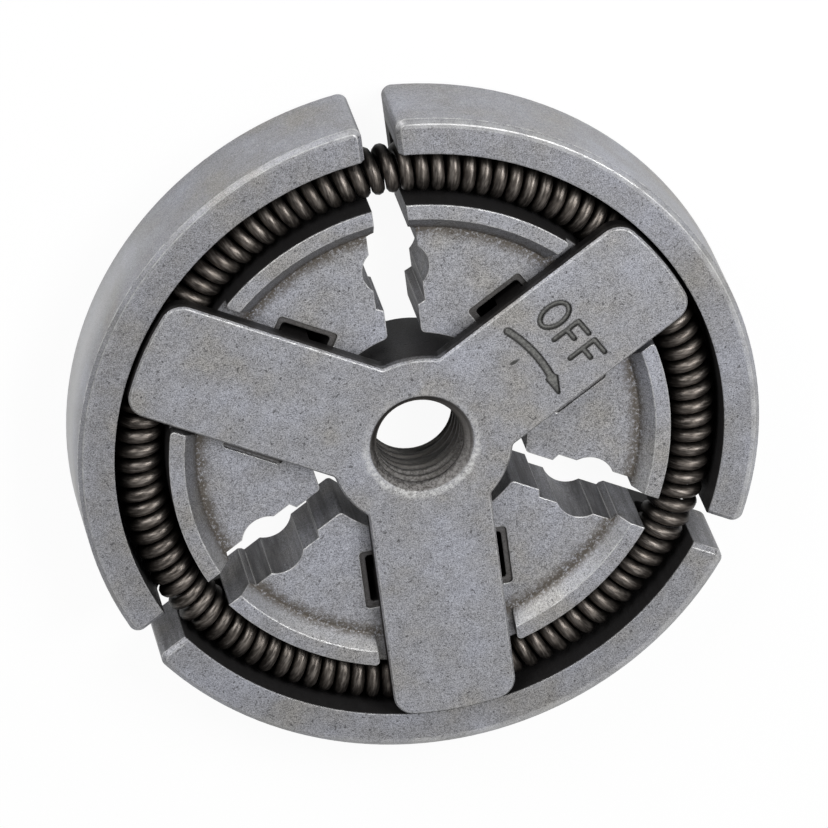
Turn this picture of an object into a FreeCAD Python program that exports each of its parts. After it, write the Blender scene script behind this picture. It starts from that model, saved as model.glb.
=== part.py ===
import FreeCAD, Part
import math
import os

import Mesh
import Sketcher

# Centrifugal clutch of a chain saw, in millimetres. It is made of five pieces: a sintered hub with
# three arms, three sintered shoes that slide outwards along the arms, and one closed garter spring
# that draws the shoes in. The arms are on the front, which looks up (+Z). One arm points along -Y.
# The origin lies on the axis, halfway along the hub's threaded bore, and every piece is drawn from
# the back plane up and then lowered by that amount.

SIZES = (
    ("shoe_radius", 35.0, "friction face of a shoe, ground to the drum"),
    ("rim_wall", 3.6, "radial thickness of the rim behind the friction face"),
    ("rim_height", 9.55, "height of the rim and of the lip above the back"),
    ("rim_chamfer", 0.45, "broken edges of the friction face"),
    ("rim_corner", 1.0, "rounding of the rim's outer corners at the ends"),
    ("lip_wall", 1.5, "flat top of the lip that holds the spring"),
    ("lip_slope", 1.4, "run of the slope from the lip's top down to the web"),
    ("lip_corner", 0.4, "rounding of the lip's corners beside the arm"),
    ("web_height", 8.2, "height of the web above the back"),
    ("end_setback", 2.65, "end face of a shoe, from the line midway to the next shoe"),
    ("relief_start", 14.5, "where the relief in the end face starts, from the shoe's centre"),
    ("relief_depth", 0.75, "depth of that relief"),
    ("relief_slope", 0.35, "run of its slanted ends"),
    ("scoop_radius", 2.67, "round scoop in the middle of the relief"),
    ("scoop_depth", 0.87, "depth of the scoop below the relief"),
    ("tip_corner", 0.5, "rounding of the web's tip beside the hub"),
    ("window_wall", 1.6, "web between its inner end and the window"),
    ("window_share", 0.46, "length of the window, as a share of the web's radial width"),
    ("window_floor", 1.5, "web left below the window, which is blind"),
    ("window_corner", 0.4, "rounding of the window's corners"),
    ("ledge_width", 0.57, "shallow ledge around the window"),
    ("ledge_depth", 0.25, "depth of the ledge below the web"),
    ("groove_round", 0.8, "rounding of the spring groove's floor"),
    ("draw_in", 1.1, "how far the spring holds each shoe inside its working place"),
    ("travel", 2.0, "how far a shoe can slide out"),
    ("arm_width", 12.33, "width of an arm and of the lug below it"),
    ("arm_thickness", 1.95, "thickness of an arm"),
    ("arm_corner", 2.2, "rounding of the corners at an arm's end"),
    ("arm_root", 0.5, "rounding of the inner corners between an arm and the boss"),
    ("arm_edge", 0.2, "broken front edges of the arms and the boss"),
    ("boss_radius", 9.17, "outside of the boss"),
    ("boss_chamfer", 0.5, "broken back edge of the boss"),
    ("bore_radius", 4.33, "wall of the bore, the crest of an M10 x 1.25 left-hand thread"),
    ("front_countersink", 0.9, "45 degree countersink at the front end of the bore"),
    ("back_countersink", 2.2, "45 degree countersink at the back end of the bore"),
    ("lug_lift", 0.3, "clearance between a lug's end and the window's floor"),
    ("arm_lift", 0.3, "clearance between an arm and the web"),
    ("arm_end_gap", 0.4, "clearance between an arm's end and the rim"),
    ("channel_gap", 0.84, "clearance beside an arm where it passes through the lip"),
    ("window_gap", 0.72, "clearance beside a lug in its window"),
    ("lug_gap", 0.1, "clearance before and behind a lug at the ends of the travel"),
    ("hub_gap", 1.53, "clearance between the boss and a web"),
    ("spring_outer", 5.0, "outside of the spring's coils"),
    ("wire", 1.35, "thickness of the spring's wire"),
    ("coil_gap", 0.06, "least gap between two coils"),
    ("spring_gap", 0.1, "clearance between the spring and the lip"),
    ("spring_lift", 0.3, "clearance between the spring and the groove's floor"),
    ("spring_top_gap", 0.2, "clearance between the spring and the arms"),
    ("groove_play", 0.4, "how much wider than the spring the groove is"),
)

ARM_ANGLES = (-90, 30, 150)
SHOE_SPAN = 120
STATIONS_PER_COIL = 8
WIRE_SIDES = 6
MARGIN = 1.0

# Lengths that follow from the sizes, as the expressions that the sketches use.
RIM_INNER = "(Sizes.shoe_radius - Sizes.rim_wall)"
LIP_OUTER = f"({RIM_INNER} - Sizes.spring_outer - Sizes.groove_play)"
LIP_INNER = f"({LIP_OUTER} - Sizes.lip_wall)"
LIP_FOOT = f"({LIP_INNER} - Sizes.lip_slope)"
WEB_INNER = "(Sizes.boss_radius + Sizes.hub_gap + Sizes.draw_in)"
ARM_FLOOR = "(Sizes.web_height + Sizes.arm_lift)"
ARM_TOP = f"({ARM_FLOOR} + Sizes.arm_thickness)"
ARM_REACH = f"({RIM_INNER} - Sizes.draw_in - Sizes.arm_end_gap)"
GROOVE_FLOOR = f"({ARM_FLOOR} - Sizes.spring_top_gap - Sizes.spring_outer - Sizes.spring_lift)"
WINDOW_START = f"({WEB_INNER} + Sizes.window_wall)"
WINDOW_END = f"({WINDOW_START} + Sizes.window_share * ({LIP_FOOT} - {WEB_INNER}))"
LUG_INNER = f"({WINDOW_START} - Sizes.draw_in + Sizes.travel + Sizes.lug_gap)"
LUG_OUTER = f"({WINDOW_END} - Sizes.draw_in - Sizes.lug_gap)"
LUG_LOW = "(Sizes.window_floor + Sizes.lug_lift)"
BORE_MIDDLE = f"(({ARM_TOP} - Sizes.front_countersink + Sizes.back_countersink) / 2)"

doc = FreeCAD.newDocument("clutch")
sheet = doc.addObject("Spreadsheet::Sheet", "Sizes")
for row, (alias, value, note) in enumerate(SIZES, start=1):
    sheet.set(f"A{row}", note)
    sheet.set(f"B{row}", str(value))
    sheet.setAlias(f"B{row}", alias)
doc.recompute()


def length(expression):
    """The value in millimetres of an expression on the sheet."""
    value = sheet.evalExpression(expression)
    return float(getattr(value, "Value", value))


def origin_feature(body, role):
    return next(item for item in body.Origin.OriginFeatures if item.Role == role)


def new_sketch(body, name, role, lift=None, turn=0):
    """A sketch on one of the body's own planes, lifted off it and turned in it where needed."""
    sketch = body.newObject("Sketcher::SketchObject", name)
    sketch.AttachmentSupport = (origin_feature(body, role), [""])
    sketch.MapMode = "FlatFace"
    turned = FreeCAD.Rotation(FreeCAD.Vector(0, 0, 1), turn)
    sketch.AttachmentOffset = FreeCAD.Placement(FreeCAD.Vector(), turned)
    if lift:
        sketch.setExpression("AttachmentOffset.Base.z", lift)
    return sketch


def fix_point(sketch, geometry, position, corner):
    """Tie one point of the sketch to a pair of expressions."""
    for kind, expression in zip(("DistanceX", "DistanceY"), corner):
        value = length(expression)
        index = sketch.addConstraint(Sketcher.Constraint(kind, -1, 1, geometry, position, value))
        sketch.setExpression(f"Constraints[{index}]", expression)


def draw_outline(sketch, corners):
    """A closed outline of straight lines through corners, each a pair of expressions."""
    points = [FreeCAD.Vector(length(across), length(up), 0) for across, up in corners]
    count = len(points)
    for index in range(count):
        following = points[(index + 1) % count]
        sketch.addGeometry(Part.LineSegment(points[index], following), False)
    for index in range(count):
        following = (index + 1) % count
        sketch.addConstraint(Sketcher.Constraint("Coincident", index, 2, following, 1))
        fix_point(sketch, index, 1, corners[index])


def draw_circle(sketch, centre, radius):
    middle = FreeCAD.Vector(length(centre[0]), length(centre[1]), 0)
    circle = Part.Circle(middle, FreeCAD.Vector(0, 0, 1), length(radius))
    sketch.addGeometry(circle, False)
    fix_point(sketch, 0, 3, centre)
    index = sketch.addConstraint(Sketcher.Constraint("Radius", 0, length(radius)))
    sketch.setExpression(f"Constraints[{index}]", radius)


def rectangle(left, right, half_width):
    """Corners of a rectangle that lies evenly about the sketch's own X axis."""
    low = f"-{half_width}"
    return [(left, low), (right, low), (right, half_width), (left, half_width)]


def add_feature(body, kind, name, profile=None, **settings):
    """A feature of the body. A setting given as text is an expression on the sheet."""
    feature = body.newObject(f"PartDesign::{kind}", name)
    if profile:
        feature.Profile = profile
        profile.Visibility = False
    for key, value in settings.items():
        if isinstance(value, str) and key != "Type":
            feature.setExpression(key, value)
        else:
            setattr(feature, key, value)
    return feature


def is_upright(edge):
    start, end = edge.firstVertex().Point, edge.lastVertex().Point
    return math.hypot(end.x - start.x, end.y - start.y) < 1e-6 and abs(end.z - start.z) > 1e-3


def edges_where(feature, wanted):
    """Names of the edges of a finished feature that pass a test."""
    doc.recompute()
    edges = feature.Shape.Edges
    return [f"Edge{number}" for number, edge in enumerate(edges, start=1) if wanted(edge)]


def round_edges(body, kind, name, base, wanted, size, key="Radius"):
    feature = body.newObject(f"PartDesign::{kind}", name)
    feature.Base = (base, edges_where(base, wanted))
    feature.setExpression(key, size)
    doc.recompute()
    return feature


def radius_of(point):
    return math.hypot(point.x, point.y)


def make_shoe(label, arm_angle):
    """One shoe, drawn with its arm along X and its friction face about the Z axis."""
    body = doc.addObject("PartDesign::Body", label)
    body.Label = label

    # The section from the web's inner end to the friction face: web, slope, lip, groove and rim.
    section = new_sketch(body, f"{label}_section", "XZ_Plane")
    draw_outline(section, [
        (WEB_INNER, "0"), ("Sizes.shoe_radius", "0"), ("Sizes.shoe_radius", "Sizes.rim_height"),
        (RIM_INNER, "Sizes.rim_height"), (RIM_INNER, GROOVE_FLOOR), (LIP_OUTER, GROOVE_FLOOR),
        (LIP_OUTER, "Sizes.rim_height"), (LIP_INNER, "Sizes.rim_height"),
        (LIP_FOOT, "Sizes.web_height"), (WEB_INNER, "Sizes.web_height"),
    ])
    blank = add_feature(body, "Revolution", f"{label}_blank", section, Angle=SHOE_SPAN,
                        Midplane=True, ReferenceAxis=(origin_feature(body, "Z_Axis"), [""]))

    # The end faces run parallel to the line midway between two shoes, which is the X axis of these
    # two sketches. A relief with a round scoop is let into the web's part of each end face.
    relief_floor = "(-Sizes.end_setback - Sizes.relief_depth)"
    beyond = f"(Sizes.shoe_radius + {MARGIN})"
    end_face = new_sketch(body, f"{label}_end_face", "XY_Plane", turn=SHOE_SPAN / 2)
    draw_outline(end_face, [
        (f"{MARGIN}", f"{MARGIN}"), (beyond, f"{MARGIN}"), (beyond, "-Sizes.end_setback"),
        (LIP_FOOT, "-Sizes.end_setback"), (f"({LIP_FOOT} - Sizes.relief_slope)", relief_floor),
        ("(Sizes.relief_start + Sizes.relief_slope)", relief_floor),
        ("Sizes.relief_start", "-Sizes.end_setback"), (f"{MARGIN}", "-Sizes.end_setback"),
    ])
    end_cut = add_feature(body, "Pocket", f"{label}_end_cut", end_face, Type="ThroughAll",
                          Reversed=True)
    scoop = new_sketch(body, f"{label}_scoop", "XY_Plane", turn=SHOE_SPAN / 2)
    scoop_middle = f"((Sizes.relief_start + {LIP_FOOT}) / 2)"
    scoop_height = f"({relief_floor} - Sizes.scoop_depth + Sizes.scoop_radius)"
    draw_circle(scoop, (scoop_middle, scoop_height), "Sizes.scoop_radius")
    scoop_cut = add_feature(body, "Pocket", f"{label}_scoop_cut", scoop, Type="ThroughAll",
                            Reversed=True)
    ends = add_feature(body, "Mirrored", f"{label}_ends", Originals=[end_cut, scoop_cut],
                       MirrorPlane=(origin_feature(body, "XZ_Plane"), [""]))
    body.Tip = ends

    # The arm passes through the lip in a channel, and its lug goes down into a blind window.
    channel = new_sketch(body, f"{label}_channel", "XY_Plane", lift="Sizes.web_height")
    channel_half = "(Sizes.arm_width / 2 + Sizes.channel_gap)"
    draw_outline(channel, rectangle(f"({LIP_FOOT} - {MARGIN})", f"({LIP_OUTER} + {MARGIN})",
                                    channel_half))
    add_feature(body, "Pocket", f"{label}_channel_cut", channel, Type="ThroughAll", Reversed=True)
    window_half = "(Sizes.arm_width / 2 + Sizes.window_gap)"
    ledge = new_sketch(body, f"{label}_ledge", "XY_Plane", lift="Sizes.web_height")
    draw_outline(ledge, rectangle(f"({WINDOW_START} - Sizes.ledge_width)",
                                  f"({WINDOW_END} + Sizes.ledge_width)",
                                  f"({window_half} + Sizes.ledge_width)"))
    add_feature(body, "Pocket", f"{label}_ledge_cut", ledge, Length="Sizes.ledge_depth")
    window = new_sketch(body, f"{label}_window", "XY_Plane", lift="Sizes.window_floor")
    draw_outline(window, rectangle(WINDOW_START, WINDOW_END, window_half))
    window_cut = add_feature(body, "Pocket", f"{label}_window_cut", window, Type="ThroughAll",
                             Reversed=True)

    # Upright corners first, then the edges of the friction face, which run on round the corners.
    friction, tip = length("Sizes.shoe_radius"), length(WEB_INNER)
    half_window = length(window_half) + length("Sizes.ledge_width")
    half_channel = length(channel_half)

    def is_rim_corner(edge):
        return is_upright(edge) and radius_of(edge.firstVertex().Point) > friction - 1e-3

    def is_tip_corner(edge):
        return is_upright(edge) and radius_of(edge.firstVertex().Point) < tip + 1e-3

    def is_window_corner(edge):
        point = edge.firstVertex().Point
        inside = point.x < length(WINDOW_END) + 2 * length("Sizes.ledge_width")
        return is_upright(edge) and inside and abs(point.y) < half_window + 1e-3

    def is_lip_corner(edge):
        point = edge.firstVertex().Point
        beside = abs(abs(point.y) - half_channel) < 1e-3
        return is_upright(edge) and beside and radius_of(point) > length(LIP_INNER) - 1e-3

    def is_friction_edge(edge):
        ends = (edge.firstVertex().Point, edge.lastVertex().Point)
        level = abs(ends[0].z - ends[1].z) < 1e-6
        return level and all(radius_of(end) > friction - length("Sizes.rim_corner") / 2 for end in ends)

    def is_groove_corner(edge):
        ends = (edge.firstVertex().Point, edge.lastVertex().Point)
        on_floor = all(abs(end.z - length(GROOVE_FLOOR)) < 1e-6 for end in ends)
        return on_floor and abs(radius_of(ends[0]) - radius_of(ends[1])) < 1e-6

    rounded = round_edges(body, "Fillet", f"{label}_rim_corners", window_cut, is_rim_corner,
                          "Sizes.rim_corner")
    rounded = round_edges(body, "Fillet", f"{label}_tip_corners", rounded, is_tip_corner,
                          "Sizes.tip_corner")
    rounded = round_edges(body, "Fillet", f"{label}_window_corners", rounded, is_window_corner,
                          "Sizes.window_corner")
    rounded = round_edges(body, "Fillet", f"{label}_lip_corners", rounded, is_lip_corner,
                          "Sizes.lip_corner")
    rounded = round_edges(body, "Fillet", f"{label}_groove_floor", rounded, is_groove_corner,
                          "Sizes.groove_round")
    round_edges(body, "Chamfer", f"{label}_friction_edges", rounded, is_friction_edge,
                "Sizes.rim_chamfer", key="Size")

    turn = FreeCAD.Rotation(FreeCAD.Vector(0, 0, 1), arm_angle)
    body.Placement = FreeCAD.Placement(FreeCAD.Vector(), turn)
    body.setExpression("Placement.Base.x", f"-Sizes.draw_in * cos({arm_angle} deg)")
    body.setExpression("Placement.Base.y", f"-Sizes.draw_in * sin({arm_angle} deg)")
    body.setExpression("Placement.Base.z", f"-{BORE_MIDDLE}")
    return body


def make_hub():
    """The hub: a threaded boss with three arms across its front and a driving lug under each."""
    body = doc.addObject("PartDesign::Body", "hub")
    body.Label = "hub"

    boss_section = new_sketch(body, "boss_section", "XZ_Plane")
    mouth = "(Sizes.bore_radius + Sizes.front_countersink)"
    back_mouth = "(Sizes.bore_radius + Sizes.back_countersink)"
    draw_outline(boss_section, [
        (back_mouth, "0"), ("(Sizes.boss_radius - Sizes.boss_chamfer)", "0"),
        ("Sizes.boss_radius", "Sizes.boss_chamfer"), ("Sizes.boss_radius", ARM_TOP),
        (mouth, ARM_TOP), ("Sizes.bore_radius", f"({ARM_TOP} - Sizes.front_countersink)"),
        ("Sizes.bore_radius", "Sizes.back_countersink"),
    ])
    add_feature(body, "Revolution", "boss", boss_section, Angle=360,
                ReferenceAxis=(origin_feature(body, "Z_Axis"), [""]))

    half_arm = "(Sizes.arm_width / 2)"
    inside_boss = f"(sqrt(Sizes.boss_radius ^ 2 - {half_arm} ^ 2) - {MARGIN} / 2)"
    arm_outline = new_sketch(body, "arm_outline", "XY_Plane", lift=ARM_FLOOR)
    draw_outline(arm_outline, rectangle(inside_boss, f"({ARM_REACH} + {MARGIN})", half_arm))
    arm = add_feature(body, "Pad", "arm", arm_outline, Length="Sizes.arm_thickness")
    lug_outline = new_sketch(body, "lug_outline", "XY_Plane", lift=LUG_LOW)
    draw_outline(lug_outline, rectangle(LUG_INNER, LUG_OUTER, half_arm))
    lug = add_feature(body, "Pad", "lug", lug_outline, Length=f"{ARM_FLOOR} - {LUG_LOW}")
    arms = add_feature(body, "PolarPattern", "arms", Originals=[arm, lug], Angle=360,
                       Axis=(origin_feature(body, "Z_Axis"), [""]), Occurrences=len(ARM_ANGLES))
    body.Tip = arms

    # The ends of the arms are turned about the axis.
    end_section = new_sketch(body, "arm_end_section", "XZ_Plane")
    outside = f"({ARM_REACH} + {MARGIN} + Sizes.arm_width)"
    draw_outline(end_section, [
        (ARM_REACH, f"({ARM_FLOOR} - {MARGIN})"), (outside, f"({ARM_FLOOR} - {MARGIN})"),
        (outside, f"({ARM_TOP} + {MARGIN})"), (ARM_REACH, f"({ARM_TOP} + {MARGIN})"),
    ])
    ends = add_feature(body, "Groove", "arm_ends", end_section, Angle=360,
                       ReferenceAxis=(origin_feature(body, "Z_Axis"), [""]))

    reach, floor, top = length(ARM_REACH), length(ARM_FLOOR), length(ARM_TOP)

    def is_arm_corner(edge):
        return is_upright(edge) and radius_of(edge.firstVertex().Point) > reach - 1e-3

    def is_arm_root(edge):
        point = edge.firstVertex().Point
        on_boss = abs(radius_of(point) - length("Sizes.boss_radius")) < 1e-3
        return is_upright(edge) and on_boss and edge.BoundBox.ZMin > floor - 1e-3

    def is_front_edge(edge):
        ends = (edge.firstVertex().Point, edge.lastVertex().Point)
        at_mouth = radius_of(ends[0]) < length(mouth) + 1e-3
        return all(abs(end.z - top) < 1e-6 for end in ends) and not at_mouth

    rounded = round_edges(body, "Fillet", "arm_corners", ends, is_arm_corner, "Sizes.arm_corner")
    rounded = round_edges(body, "Fillet", "arm_roots", rounded, is_arm_root, "Sizes.arm_root")
    round_edges(body, "Chamfer", "arm_edges", rounded, is_front_edge, "Sizes.arm_edge", key="Size")

    turn = FreeCAD.Rotation(FreeCAD.Vector(0, 0, 1), ARM_ANGLES[0])
    body.Placement = FreeCAD.Placement(FreeCAD.Vector(), turn)
    body.setExpression("Placement.Base.z", f"-{BORE_MIDDLE}")
    return body


def spring_axis():
    """The line that the coils wind round, as arcs: (centre, radius, first normal, last normal).

    Along each lip it is an arc about that shoe's own centre. Across the gap between two shoes it
    bends on with a smaller arc, centred on the gap's middle line.
    """
    lip = length(LIP_OUTER)
    radius = lip + length("Sizes.spring_gap") + length("Sizes.spring_outer") / 2
    half_span = math.radians(SHOE_SPAN / 2)
    held = half_span - math.asin(length("Sizes.end_setback") / lip)
    draw_in = length("Sizes.draw_in")
    leaving = (radius * math.cos(held) - draw_in, radius * math.sin(held))
    across = leaving[0] * math.sin(half_span) - leaving[1] * math.cos(half_span)
    bend = across / math.sin(half_span - held)
    bend_centre = math.hypot(leaving[0] - bend * math.cos(held), leaving[1] - bend * math.sin(held))
    arcs = []
    for angle in ARM_ANGLES:
        arm = math.radians(angle)
        centre = (-draw_in * math.cos(arm), -draw_in * math.sin(arm))
        arcs.append((centre, radius, arm - held, arm + held))
        gap = arm + half_span
        centre = (bend_centre * math.cos(gap), bend_centre * math.sin(gap))
        arcs.append((centre, bend, arm + held, arm + 2 * half_span - held))
    return arcs


def point_along(arcs, distance):
    """The point of the axis at a distance along it, and the angle of its outward normal there."""
    for centre, radius, first, last in arcs:
        stretch = radius * (last - first)
        if distance <= stretch:
            normal = first + distance / radius
            point = (centre[0] + radius * math.cos(normal), centre[1] + radius * math.sin(normal))
            return point, normal
        distance -= stretch
    return point_along(arcs, distance)


def make_spring():
    """The garter spring: a wire wound into a closed ring of right-hand coils.

    The wire is a polygon in section and goes from station to station in straight runs, and its
    corners lie on the surface of the round wire.
    """
    arcs = spring_axis()
    coil_radius = (length("Sizes.spring_outer") - length("Sizes.wire")) / 2
    whole = sum(radius * (last - first) for centre, radius, first, last in arcs)
    tightest = min(radius for centre, radius, first, last in arcs)
    least_pitch = (length("Sizes.wire") + length("Sizes.coil_gap")) * tightest / (tightest - coil_radius)
    coils = len(ARM_ANGLES) * math.floor(whole / len(ARM_ANGLES) / least_pitch)
    stations = coils * STATIONS_PER_COIL
    height = length(GROOVE_FLOOR) + length("Sizes.spring_lift") + length("Sizes.spring_outer") / 2
    up = FreeCAD.Vector(0, 0, 1)
    rings = []
    for station in range(stations):
        turned = 2 * math.pi * station / STATIONS_PER_COIL
        (x, y), normal = point_along(arcs, whole * station / stations)
        outward = FreeCAD.Vector(math.cos(normal), math.sin(normal), 0)
        onward = up.cross(outward)
        from_axis = up * math.sin(turned) - outward * math.cos(turned)
        around = up * math.cos(turned) + outward * math.sin(turned)
        run = (onward * (whole / coils) + around * (2 * math.pi * coil_radius)).normalize()
        side = run.cross(from_axis)
        middle = FreeCAD.Vector(x, y, height) + from_axis * coil_radius
        ring = []
        for corner in range(WIRE_SIDES):
            angle = 2 * math.pi * corner / WIRE_SIDES
            spoke = from_axis * math.cos(angle) + side * math.sin(angle)
            ring.append(middle + spoke * (length("Sizes.wire") / 2))
        rings.append(ring)
    facets = []
    for station, ring in enumerate(rings):
        following = rings[(station + 1) % stations]
        for corner in range(WIRE_SIDES):
            beside = (corner + 1) % WIRE_SIDES
            facets.append((ring[corner], ring[beside], following[beside]))
            facets.append((ring[corner], following[beside], following[corner]))
    shell = Part.Shape()
    shell.makeShapeFromMesh(Mesh.Mesh(facets).Topology, 1e-4)
    spring = doc.addObject("Part::Feature", "garter_spring")
    spring.Label = "garter_spring"
    spring.Shape = Part.makeSolid(shell)
    lowered = FreeCAD.Vector(0, 0, -length(BORE_MIDDLE))
    spring.Placement = FreeCAD.Placement(lowered, FreeCAD.Rotation())
    print(f"garter spring: {coils} coils, {len(facets)} facets")
    return spring


def check(parts):
    """Stop before anything is written if a feature has failed or a solid isn't sound."""
    for item in doc.Objects:
        if "Invalid" in item.State or "Error" in item.State:
            raise RuntimeError(f"{item.Name} has failed: {item.State}")
    for part in parts:
        if part.Shape.isNull() or not part.Shape.isValid() or len(part.Shape.Solids) != 1:
            raise RuntimeError(f"{part.Label} isn't one sound solid")


parts = [make_hub(), make_spring()]
for number, arm_angle in enumerate(ARM_ANGLES, start=1):
    parts.append(make_shoe(f"shoe_{number}", arm_angle))
doc.recompute()
check(parts)
os.makedirs("parts", exist_ok=True)
for part in parts:
    part.Shape.exportStep(f"parts/{part.Label}.step")
    print(f"{part.Label}: {part.Shape.Volume:.1f} mm3, {len(part.Shape.Faces)} faces")
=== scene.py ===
# %% [markdown]
# # A centrifugal clutch, dressed for a studio picture
#
# The clutch has a sintered hub with three arms, three sintered shoes that slide outwards along
# the arms, and one garter spring that draws the shoes in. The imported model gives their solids.
# This lesson gives them their finish, cuts the thread and the markings, and winds a real spring.
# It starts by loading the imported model, which stays where it is: lengths are in metres, and the
# back of the clutch lies on the floor.

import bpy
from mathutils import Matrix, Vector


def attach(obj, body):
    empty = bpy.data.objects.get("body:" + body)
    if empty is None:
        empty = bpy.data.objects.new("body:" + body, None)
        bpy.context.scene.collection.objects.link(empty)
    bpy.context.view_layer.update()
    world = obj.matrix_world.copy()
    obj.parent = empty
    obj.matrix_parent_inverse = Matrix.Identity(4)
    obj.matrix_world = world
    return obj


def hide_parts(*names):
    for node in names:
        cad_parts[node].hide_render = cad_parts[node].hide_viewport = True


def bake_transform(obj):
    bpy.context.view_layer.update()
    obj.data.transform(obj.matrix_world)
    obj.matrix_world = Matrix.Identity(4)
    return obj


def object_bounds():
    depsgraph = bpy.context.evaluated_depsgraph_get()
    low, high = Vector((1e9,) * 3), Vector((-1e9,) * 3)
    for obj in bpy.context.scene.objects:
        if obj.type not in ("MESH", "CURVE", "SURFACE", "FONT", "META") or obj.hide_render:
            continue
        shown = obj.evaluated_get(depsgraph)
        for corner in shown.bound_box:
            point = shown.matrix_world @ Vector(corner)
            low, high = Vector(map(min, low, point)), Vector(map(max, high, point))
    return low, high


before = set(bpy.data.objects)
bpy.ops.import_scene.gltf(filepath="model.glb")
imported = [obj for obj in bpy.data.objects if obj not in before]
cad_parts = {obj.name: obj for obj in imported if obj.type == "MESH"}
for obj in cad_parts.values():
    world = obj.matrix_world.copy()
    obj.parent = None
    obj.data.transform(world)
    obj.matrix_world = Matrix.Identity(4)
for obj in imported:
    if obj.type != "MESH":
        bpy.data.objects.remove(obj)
cad_low, cad_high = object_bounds()

import math

import bmesh
import bpy
from mathutils import Matrix, Vector

MM = 0.001
BACK = cad_low.z
ARM_ANGLES = {"shoe_1": -90, "shoe_2": 30, "shoe_3": 150}

# %% [markdown]
# ## The camera
#
# The picture is taken with a long lens from above and a little to one side. A camera can be aimed
# at a target, or given its own axes. Here the three axes were worked out by fitting the clutch's
# circles to the picture, so they are written as the columns of the camera's matrix.

# %% Place the camera
SENSOR, LENS = 36.0, 371.89
CAMERA_PLACE = Vector((-0.08016, 0.37630, 0.75290))
CAMERA_RIGHT = Vector((0.979038, -0.120320, 0.164338))
CAMERA_UP = Vector((0.180166, 0.887921, -0.423244))
CAMERA_BACK = Vector((-0.094994, 0.443981, 0.890987))

scene = bpy.context.scene
lens = bpy.data.cameras.new("camera")
lens.lens, lens.sensor_width, lens.clip_start, lens.clip_end = LENS, SENSOR, 0.05, 20.0
camera = bpy.data.objects.new("camera", lens)
axes = Matrix((CAMERA_RIGHT, CAMERA_UP, CAMERA_BACK)).transposed()
camera.matrix_world = Matrix.Translation(CAMERA_PLACE) @ axes.to_4x4()
scene.collection.objects.link(camera)
scene.camera = camera
scene.view_settings.view_transform = "Standard"
print("camera at", tuple(round(x, 3) for x in camera.location))

# %% [markdown]
# ## Writing materials as sums
#
# A material is a net of nodes. Placing the nodes one by one hides the idea behind them, so two
# small classes let the lesson write shader maths as Python does: a `Value` wraps one socket, and
# each operator on it adds a Math node. `Finish` holds a material and makes any other node.

# %% Two classes for shader maths
class Value:
    """One socket of a material, which takes part in Python expressions."""

    def __init__(self, finish, socket):
        self.finish, self.socket = finish, socket

    def maths(self, operation, *numbers):
        settings = {"operation": operation}
        return self.finish.node("ShaderNodeMath", settings, dict(enumerate(numbers)))

    def __add__(self, other):
        return self.maths("ADD", self, other)

    def __sub__(self, other):
        return self.maths("SUBTRACT", self, other)

    def __rsub__(self, other):
        return self.maths("SUBTRACT", other, self)

    def __mul__(self, other):
        return self.maths("MULTIPLY", self, other)

    def __pow__(self, other):
        return self.maths("POWER", self, other)

    __radd__, __rmul__ = __add__, __mul__

    def size(self):
        """The number without its sign."""
        return self.maths("ABSOLUTE", self)

    def fraction(self):
        """What the number has above the whole number below it."""
        return self.maths("FRACT", self)

    def at_most(self, limit):
        return self.maths("MINIMUM", self, limit)

    def between(self, low, high):
        """0 at low and 1 at high, with a soft start and end. Low may be the larger number."""
        settings = {"interpolation_type": "SMOOTHSTEP"}
        inputs = {"Value": self, "From Min": low, "From Max": high}
        return self.finish.node("ShaderNodeMapRange", settings, inputs)

    def near(self, middle, reach):
        """1 at the middle value, and 0 from reach away."""
        return (self - middle).size().between(reach, 0.0)


class Finish:
    """A material under construction, with its principled shader."""

    def __init__(self, name):
        self.material = bpy.data.materials.new(name)
        self.material.use_nodes = True
        self.tree = self.material.node_tree
        self.shader = self.tree.nodes["Principled BSDF"]

    def node(self, kind, settings=None, inputs=None, output=0):
        """Adds a node: its settings first, then the values or links of its sockets."""
        made = self.tree.nodes.new(kind)
        for name, setting in (settings or {}).items():
            setattr(made, name, setting)
        for name, value in (inputs or {}).items():
            self.join(made.inputs[name], value)
        return Value(self, made.outputs[output])

    def join(self, socket, value):
        if isinstance(value, Value):
            self.tree.links.new(value.socket, socket)
        else:
            socket.default_value = value

    def set(self, **sockets):
        """Gives sockets of the shader a value or a link, as base_color=(...)."""
        for name, value in sockets.items():
            self.join(self.shader.inputs[name.replace("_", " ").title()], value)

    def mix(self, factor, first, second, blend="MIX"):
        """A colour from first to second. Factor may be a number or a Value."""
        settings = {"data_type": "RGBA", "blend_type": blend}
        return self.node("ShaderNodeMix", settings, {0: factor, 6: first, 7: second}, output=2)

    def place(self, shift=(0.0, 0.0, 0.0), scale=(1000.0, 1000.0, 1000.0)):
        """Object coordinates in millimetres, shifted on the piece."""
        coordinates = self.node("ShaderNodeTexCoord", output=3)
        return self.node("ShaderNodeMapping", inputs={0: coordinates, 1: shift, 3: scale})

    def noise(self, place, scale, detail=2.0, roughness=0.5):
        inputs = {"Vector": place, "Scale": scale, "Detail": detail, "Roughness": roughness}
        return self.node("ShaderNodeTexNoise", inputs=inputs)

    def split(self, vector):
        """The three numbers of a vector, and their distance from the Z axis."""
        x, y, z = (self.node("ShaderNodeSeparateXYZ", inputs={0: vector}, output=n)
                   for n in range(3))
        return x, y, z, (x * x + y * y) ** 0.5


print("shader maths is ready")

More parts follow.
